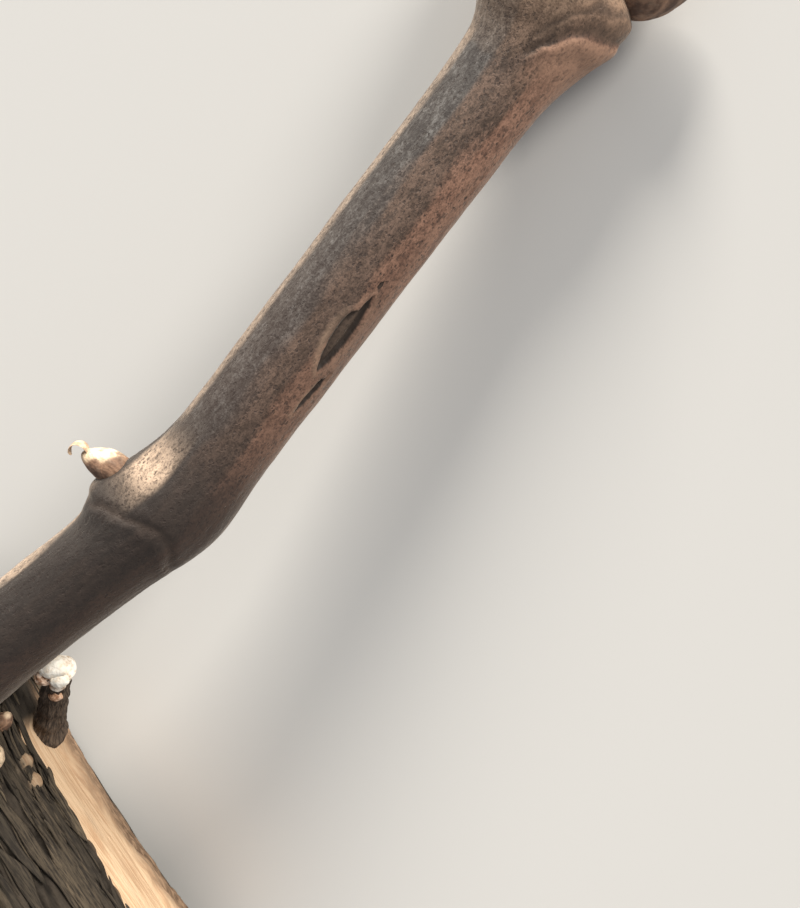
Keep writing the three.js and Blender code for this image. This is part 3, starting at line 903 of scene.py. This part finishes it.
def zoned_bark(f, mottle):
    """Ripened bark by its zones: grey on top, brown and then orange-brown below, paler at the upper
    node, and darker towards the foot of the cane, with painted shade over its lower part, painted
    highlights on its left side, and a leaf scar darkened with painted shade under the upper node's
    shelf. Each zone has its own tones in the same mottle."""
    grey_dark, grey_body, grey_pale = CANE_TONES["grey"]
    grey = f.mix(f.span(mottle, 0.42, 0.57), grey_dark, grey_body)
    grey = f.mix(f.span(mottle, 0.51, 0.64, 0.0, 0.75), grey, grey_pale)
    brown = f.mix(f.span(mottle, 0.41, 0.59), *CANE_TONES["brown"])
    warm = f.mix(f.span(mottle, 0.40, 0.60), *CANE_TONES["warm"])
    node = f.mix(f.span(mottle, 0.38, 0.62), *CANE_TONES["node"])
    colour = f.mix(f.span(f.ragged(f.layer("brown"), mottle, 1.4), 0.1, 0.9), grey, brown)
    colour = f.mix(f.span(f.ragged(f.layer("warm"), mottle, 1.2), 0.1, 0.9), colour, warm)
    shares = {"stripe": f.span(mottle, 0.3, 0.6, 0.2, 0.6), "below": 0.5, "node": 0.8, "leaf_scar_and_shade": 0.75,
              "dim": 0.34, "painted_shade": 0.82, "painted_highlight": f.span(mottle, 0.36, 0.6, 0.25, 0.85)}
    for zone, share in shares.items():
        tone = node if zone == "node" else CANE_TONES[zone]
        colour = f.mix(f.times(f.layer(zone), share), colour, tone)
    return colour


def cut_tip(f, broad):
    """The slanting cut: pale wood in faint rings, with a brown pith and a dark line of bark."""
    rim = f.layer("rim")
    rings = f.add(f.math("SINE", f.times(rim, 9.0)), broad)
    wood = f.mix(f.span(rings, 0.0, 1.4), *TIP_TONES["wood"])
    wood = f.mix(f.span(rim, 0.34, 0.26), wood, TIP_TONES["pith"])
    return f.mix(f.span(rim, 0.90, 0.97), wood, TIP_TONES["bark"])


def cane_finish():
    """Ripened bark in its zones, with dark pores and specks, fewer at the upper node, dark grooves,
    the wounds with their pale lips, and the cut."""
    f = Finish("cane bark")
    grain = f.layer("grain", "Vector")
    broad = streaks(f, grain, 1.0, 0.45)
    fine = streaks(f, grain, 4.2, 2.6)
    blotch = streaks(f, grain, 2.0, 1.5)
    speck = streaks(f, grain, 6.0, 4.6)
    mottle = f.weighted((broad, 0.32), (fine, 0.18), (blotch, 0.28), (speck, 0.22))
    pores = f.node("ShaderNodeGroup", {"Grain": grain, "Size": 0.72}, node_tree=PORES).outputs["Pores"]
    pores = f.times(pores, f.span(blotch, 0.3, 0.6, 0.3, 1.0))
    calm = f.span(f.add(f.layer("below"), f.layer("node")), 0.0, 1.0, 1.0, 0.45)
    dark = f.times(f.weighted((pores, 0.6), (f.span(speck, 0.50, 0.34), 0.5)), calm)
    colour = f.mix(dark, zoned_bark(f, mottle), CANE_TONES["pore"])
    colour = f.mix(f.times(f.layer("groove"), 0.6), colour, CANE_TONES["groove"])
    colour = f.mix(f.times(f.layer("lip"), 0.48), colour, CANE_TONES["lip"])
    wound_dark, wound_pale = CANE_TONES["wound"]
    hollow = f.mix(f.span(f.layer("wound"), 0.2, 0.9), wound_dark, wound_pale)
    hollow = f.mix(f.span(fine, 0.4, 0.65, 0.0, 0.6), hollow, wound_dark)
    colour = f.mix(f.span(f.layer("wound"), 0.0, 0.16), colour, hollow)
    colour = f.mix(f.layer("cut"), colour, cut_tip(f, broad))
    f.shader.inputs["Sheen Weight"].default_value = 0.22
    f.shader.inputs["Sheen Roughness"].default_value = 0.3
    f.shader.inputs["Sheen Tint"].default_value = (1.0, 0.9, 0.78, 1)
    height = f.weighted((fine, 0.7), (pores, -0.35), (speck, 0.4))
    return f.done(colour, f.span(mottle, 0.35, 0.65, 0.52, 0.72), height, 0.10, specular=0.3)


cane_skin.data.materials.append(cane_finish())
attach(cane_skin, "root")
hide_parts("cane")

# The stub beside the cane's foot: the base of an old shoot, cut back short, with a cluster of woolly
# basal buds that have swollen round its end.
STUB = {"start": (-47.1, -39.7, 6.4), "radius": 1.75, "tip": 1.4, "collar": 0.8, "inside": 5.6, "reach": 1.4}
STUB_RUNS = [(10.0, 56, 22), (8.2, 60, 26)]
STUB_BEND = 4
# The buds' places from the end of the stub, their size, how far they tilt to the right, and how white
# their wool is.
STUB_LOBES = table(
    "ahead right up length width tilt white",
    (0.1, 0.05, -0.3, 3.6, 3.4, 0, 0.6),
    (1.1, -0.4, 0.4, 4.1, 2.6, 68, 1.0),
    (0.25, 1.0, 0.7, 2.6, 1.8, 58, 0.9),
    (-0.4, -0.75, 1.0, 2.3, 2.2, 40, 0.35),
    (-0.95, 0.85, 0.7, 2.1, 1.6, 60, 0.5),
    (-3.0, 0.9, 0.9, 2.0, 1.3, 60, 0.25),
)
LOBE_POINTED = 0.1
STUB_GRID = (64, 72)
STUB_TONES = {
    "bark": [(48, 41, 36), (104, 89, 76)],
    "rust": [(136, 98, 74), (206, 164, 132)],
    "cream": [(234, 214, 186), (252, 246, 234)],
}

stub_bark = unrolled(2.6)


def egg(centre, axis, length, width, pointed, girth, grid):
    """A sphere stretched along its axis and narrowed towards its tip: rings at distance y from -1 to 1
    of radius the root of 1 - y squared, times girth(tip, angle), where tip is 0 to 1 along it."""
    rows, cols = grid
    y = -np.cos(np.linspace(0.03, np.pi - 0.03, rows))[:, None]
    angle = np.linspace(0, 360, cols, endpoint=False)[None, :]
    tip = (y + 1) / 2
    r = width / 2 * np.sqrt(1 - y * y) * (1 - pointed * tip * tip) * girth(tip, angle)
    points = centre + axis * (y * length / 2)[..., None] + outward(axis, angle) * r[..., None]
    return points, *np.broadcast_arrays(tip, angle)


def lobe_girth(seed):
    """The girth of a bud on the stub: scales wrapped round it, each a step above the next, and soft
    lumps of wool, drawn in to a point."""
    def girth(tip, angle):
        tip, t = np.broadcast_arrays(tip, np.radians(angle))
        tops = (0.30 + 0.24 * k + 0.12 * np.cos(t - np.radians(137 * k)) for k in range(3))
        steps = sum(smooth((top - tip) / 0.06) for top in tops)
        soft = noise(np.stack([3 * tip, 1.4 * np.cos(t), 1.4 * np.sin(t)], axis=-1), seed)
        return (0.94 + 0.04 * steps + 0.08 * soft) * (1 - 0.35 * smooth((tip - 0.55) / 0.45))

    return girth


stub_path, stub_length = bent_path(STUB["start"], STUB_RUNS, STUB_BEND)
stub_rows, stub_points = STUB_GRID
stub_columns = np.linspace(0, 360, stub_points, endpoint=False)
stub_s, stub_a = np.meshgrid(np.linspace(0, stub_length, stub_rows), stub_columns, indexing="ij")
stub_radius = STUB["radius"] + (STUB["tip"] - STUB["radius"]) * stub_s / stub_length
stub_radius += STUB["collar"] * np.exp(-np.maximum(stub_s - STUB["inside"], 0) / STUB["reach"])
stub_radius += 0.22 * fractal(stub_bark(stub_s, stub_a, 0.8, 3.5), 3, 101) + 0.08 * np.sin(2.4 * stub_s)
skins = [around(stub_path, stub_s, stub_a, stub_radius)]
wool = [np.zeros_like(stub_s)]
pale = [np.zeros_like(stub_s)]
grains = [stub_bark(stub_s, stub_a)]
for seed, lobe in enumerate(STUB_LOBES, 110):
    centre, along = stub_path(np.array(stub_length + lobe["ahead"]))
    up, right = sides(along)
    centre = centre + right * lobe["right"] + up * lobe["up"]
    points, tip, angle = egg(centre, leaning(along, 90, lobe["tilt"]), lobe["length"], lobe["width"],
                             LOBE_POINTED, lobe_girth(seed), STUB_GRID)
    skins.append(points)
    wool.append(smooth(tip / 0.25))
    pale.append(lobe["white"] * smooth((tip + 0.15 - 0.2 * np.cos(np.radians(angle))) / 0.5))
    grains.append(points - centre + seed * 7)
stub_layers = {"wool": np.stack(wool), "pale": np.stack(pale), "grain": np.stack(grains)}
basal_stub = shell("basal_stub_and_buds", np.stack(skins), stub_layers)


def stub_finish():
    """Fibrous dark bark, and cream to rust-brown wool on the buds."""
    f = Finish("stub bark and wool")
    grain = f.layer("grain", "Vector")
    fine = streaks(f, grain, 3.5, 0.9)
    fluff = f.cloud(grain, 1.6, 5.0, 0.6)
    bark = f.mix(f.span(fine, 0.35, 0.68), *STUB_TONES["bark"])
    rust = f.mix(f.span(fluff, 0.35, 0.6), *STUB_TONES["rust"])
    cream = f.mix(f.span(fluff, 0.25, 0.6), *STUB_TONES["cream"])
    wool = f.mix(f.span(f.ragged(f.layer("pale"), fluff, 0.8), 0.2, 0.7), rust, cream)
    return f.done(f.mix(f.layer("wool"), bark, wool), 0.9, f.add(fine, fluff), 0.2, specular=0.2)


basal_stub.data.materials.append(stub_finish())
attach(basal_stub, "root")
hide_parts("basal_stub")

# The winter buds: each an egg of brown scales laid over one another like tiles, with paler papery
# edges and some wool at the tip. Two stand on the cane's nodes and three on the old wood.
BUD_SUNK = 0.9
BUD_POINTED = 0.28
BUD_GRID = (96, 96)
# out is the angle that a bud leans out from its limb, and the last column is how far past its middle
# towards +Y, the side the key light comes from, its scales carry a painted highlight in the wool's pale
# colour, in mm.
BUDS = table(
    "name limb at side length width out dry_from",
    ("lower_bud", "cane", LOWER_NODE["at"] - 0.9, LOWER_NODE["side"], 5.2, 3.6, 112, 0.3),
    ("upper_bud", "cane", UPPER_NODE["at"] + 1.8, UPPER_NODE["side"], 9.2, 6.8, 56, 9.0),
    ("head_bud_1", "head", 35.8, 62.5, 4.4, 3.4, 80, -9.0),
    ("head_bud_2", "head", 38.2, 76, 3.8, 2.2, 80, 1.5),
    ("head_bud_3", "head", 47.0, -62, 4.6, 3.4, 75, 9.0),
)
# Scales from the innermost out: the middle of each, half its width round the bud, and where it ends.
BUD_SCALES = table(
    "middle half top",
    (0, 120, 0.97),
    (180, 115, 0.90),
    (80, 85, 0.80),
    (265, 90, 0.70),
    (20, 95, 0.55),
    (190, 100, 0.42),
)
BUD_TONES = {"scale": [(88, 66, 54), (138, 108, 87)], "dust": (150, 130, 110), "edge": (168, 130, 104),
             "wool": (230, 206, 174)}


def scale_steps(tip, angle):
    """How many scales lie over a point, and how near it is to the edge of the outermost: each scale
    is a pointed arch, whose half-width shrinks from its foot to its tip."""
    level = np.zeros(np.broadcast(tip, angle).shape)
    edge = np.zeros_like(level)
    for scale in BUD_SCALES:
        reach = np.clip(1 - tip / scale["top"], 0, 1) ** 0.45 * scale["half"]
        inside = (reach - np.abs(turn(angle, scale["middle"]))) / 60
        over = smooth(inside / 0.12)
        edge = np.where(over > 0.5, 0.0, edge * (1 - over)) + bell((inside - 0.05) / 0.09)
        level = level + over
    return level, np.minimum(edge, 1)


def bud_girth(tip, angle):
    """The bud's girth, raised a little by every scale that lies over a point."""
    level, edge = scale_steps(tip, angle)
    return 0.9 + 0.032 * level + 0.012 * edge


def bud_finish():
    """Brown scales dusted paler, with papery edges, wool at their tips, and in the wool's colour a painted
    highlight on the side towards +Y.
    """
    f = Finish("bud scales")
    grain = f.layer("grain", "Vector")
    mottle = f.cloud(grain, 1.1, 5.0)
    fine = f.cloud(f.vectors("MULTIPLY", grain, (1.0, 1.0, 0.6)), 2.2, 3.0)
    colour = f.mix(f.span(mottle, 0.35, 0.65), *BUD_TONES["scale"])
    colour = f.mix(f.times(f.span(fine, 0.5, 0.7), 0.3), colour, BUD_TONES["dust"])
    colour = f.mix(f.times(f.layer("edge"), 0.55), colour, BUD_TONES["edge"])
    colour = f.mix(f.times(f.layer("wool"), f.span(mottle, 0.35, 0.6, 0.3, 1.0)), colour, BUD_TONES["wool"])
    return f.done(colour, 0.62, fine, 0.15, specular=0.3)


def head_skin(s, a):
    """The radius that the head's buds stand at, a little under the loose bark."""
    return bark_top(s, a) - 0.3


# Each limb's path, and the radius of the skin that its buds stand on.
LIMBS = {"cane": (cane_path, cane_body), "head": (arm_path, head_skin)}


def bud_seat(bud):
    """The foot of a bud, sunk a little into its limb's skin, and the way that the bud points."""
    path, skin = LIMBS[bud["limb"]]
    at, side = np.array(bud["at"]), np.array(bud["side"])
    centre, along = path(at)
    foot = centre + outward(along, side) * (skin(at, side) - BUD_SUNK)
    return foot, leaning(along, side, bud["out"])


bud_scales = bud_finish()
for bud in BUDS:
    foot, axis = bud_seat(bud)
    centre = foot + axis * (bud["length"] / 2 - BUD_SUNK)
    points, tip, angle = egg(centre, axis, bud["length"], bud["width"], BUD_POINTED, bud_girth, BUD_GRID)
    local = (points - centre) @ np.stack([*sides(axis), axis], axis=1)
    # Painted highlight: the side of the bud towards +Y, where the key light comes from, is painted pale in
    # the wool colour.
    patchy = (points - centre)[..., 1] + 0.8 * noise(local / 1.1 + bud["length"], 121)
    painted_highlight_side = smooth((patchy - bud["dry_from"]) / 0.7) * smooth((tip - 0.2) / 0.3)
    piece = shell(bud["name"] + "_scales", points, {
        "edge": scale_steps(tip, angle)[1],
        # The wool layer carries both the wool at the tip and the painted highlight.
        "wool": np.maximum(0.7 * smooth((tip - 0.87) / 0.1), painted_highlight_side),
        "grain": local + bud["length"],
    })
    piece.data.materials.append(bud_scales)
    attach(piece, "root")
    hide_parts(bud["name"])

# The lower bud's outermost scale has dried and come loose: a thin papery flake that curls over its
# tip. beyond is how far from the bud's foot it curls, and from and to are the angles of the curl.
FLAKE = {"beyond": 4.7, "radius": 1.0, "from": 10, "to": 235, "width": 1.9, "thick": 0.16, "wool": 0.8}
FLAKE_ROWS = 48
FLAKE_POINTS = 16

foot, axis = bud_seat(BUDS[0])
across, _ = sides(axis)
back = np.cross(across, axis)
back *= np.sign(back[1])
across = -across * np.sign(np.cross(axis, back) @ across)
u = np.linspace(0, 1, FLAKE_ROWS)[:, None]
v = (2 * np.pi * np.arange(FLAKE_POINTS) / FLAKE_POINTS)[None, :]
curl = np.radians(FLAKE["from"] + (FLAKE["to"] - FLAKE["from"]) * u)[..., None]
taper = np.sqrt(np.sin(np.pi * (0.03 + 0.94 * u))) * (1 + 0.12 * np.sin(9 * u))
flake_radius = FLAKE["radius"] * (1 - 0.3 * u) + FLAKE["thick"] / 2 * taper * np.cos(v)
flake_radius = flake_radius + 0.08 * np.sin(5 * u) * np.sin(v)
off_middle = FLAKE["width"] / 2 * taper * np.sin(v)
flake_points = foot + axis * FLAKE["beyond"] + off_middle[..., None] * across
flake_points = flake_points + flake_radius[..., None] * (back * np.sin(curl) - axis * np.cos(curl))
flake = shell("lower_bud_flake", flake_points, {
    "edge": np.ones_like(flake_radius),
    "wool": np.full_like(flake_radius, FLAKE["wool"]),
    "grain": flake_points,
})
flake.data.materials.append(bud_scales)
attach(flake, "root")

# The stage: a plain pale floor, a soft low key light from +Y and a weaker one from the right, a faint
# one that grazes the cane's far side, a pale sky, and the camera.
FLOOR_HALF = 3.0
FLOOR_COLOUR = (0.56, 0.555, 0.54, 1)
SKY_COLOUR = (0.94, 0.96, 1.0, 1)
SKY_STRENGTH = 0.44
CAMERA_AT = (0.04896, 0.02831, 0.09777)
CAMERA_LOOK = (-0.28, -0.1817, -0.9426)
CAMERA_UP = (-0.0517, 0.9833, -0.1742)
FOCAL_PIXELS = 972
FRAME_PIXELS = 908
SENSOR = 36.0

corners = FLOOR_HALF * np.array([(-1, -1, 0), (1, -1, 0), (1, 1, 0), (-1, 1, 0)])
floor = mesh_of("floor", corners, [np.array([(0, 1, 2, 3)])], {})
paper = Finish("pale floor")
paper.shader.inputs["Base Color"].default_value = FLOOR_COLOUR
paper.shader.inputs["Roughness"].default_value = 0.9
floor.data.materials.append(paper.material)


def sunlight(name, towards, soft, strength, colour):
    """A far light from the way given, as soft as a disc of so many degrees."""
    lamp = bpy.data.lights.new(name, "SUN")
    lamp.angle = np.radians(soft)
    lamp.energy = strength
    lamp.color = colour
    put_down(name, lamp).rotation_euler = Vector(towards).to_track_quat("Z", "Y").to_euler()


sunlight("key", (-0.04, 1.05, 0.36), soft=22, strength=5.8, colour=(1.0, 0.94, 0.85))
sunlight("side", (0.82, 0.60, 0.42), soft=18, strength=3.1, colour=(1.0, 0.95, 0.88))
sunlight("rim", (-0.72, 0.60, 0.06), soft=8, strength=0.6, colour=(1.0, 0.92, 0.8))
sky = bpy.data.worlds.new("sky")
sky.use_nodes = True
sky.node_tree.nodes["Background"].inputs["Color"].default_value = SKY_COLOUR
sky.node_tree.nodes["Background"].inputs["Strength"].default_value = SKY_STRENGTH
bpy.context.scene.world = sky
bpy.context.scene.view_settings.view_transform = "Standard"

lens = bpy.data.cameras.new("camera")
lens.sensor_width = SENSOR
lens.lens = SENSOR * FOCAL_PIXELS / FRAME_PIXELS
lens.clip_start = 0.005
camera = put_down("camera", lens)
look = Vector(CAMERA_LOOK).normalized()
rightward = look.cross(Vector(CAMERA_UP)).normalized()
upward = rightward.cross(look)
camera.matrix_world = Matrix((
    (rightward.x, upward.x, -look.x, CAMERA_AT[0]),
    (rightward.y, upward.y, -look.y, CAMERA_AT[1]),
    (rightward.z, upward.z, -look.z, CAMERA_AT[2]),
    (0, 0, 0, 1),
))
bpy.context.scene.camera = camera
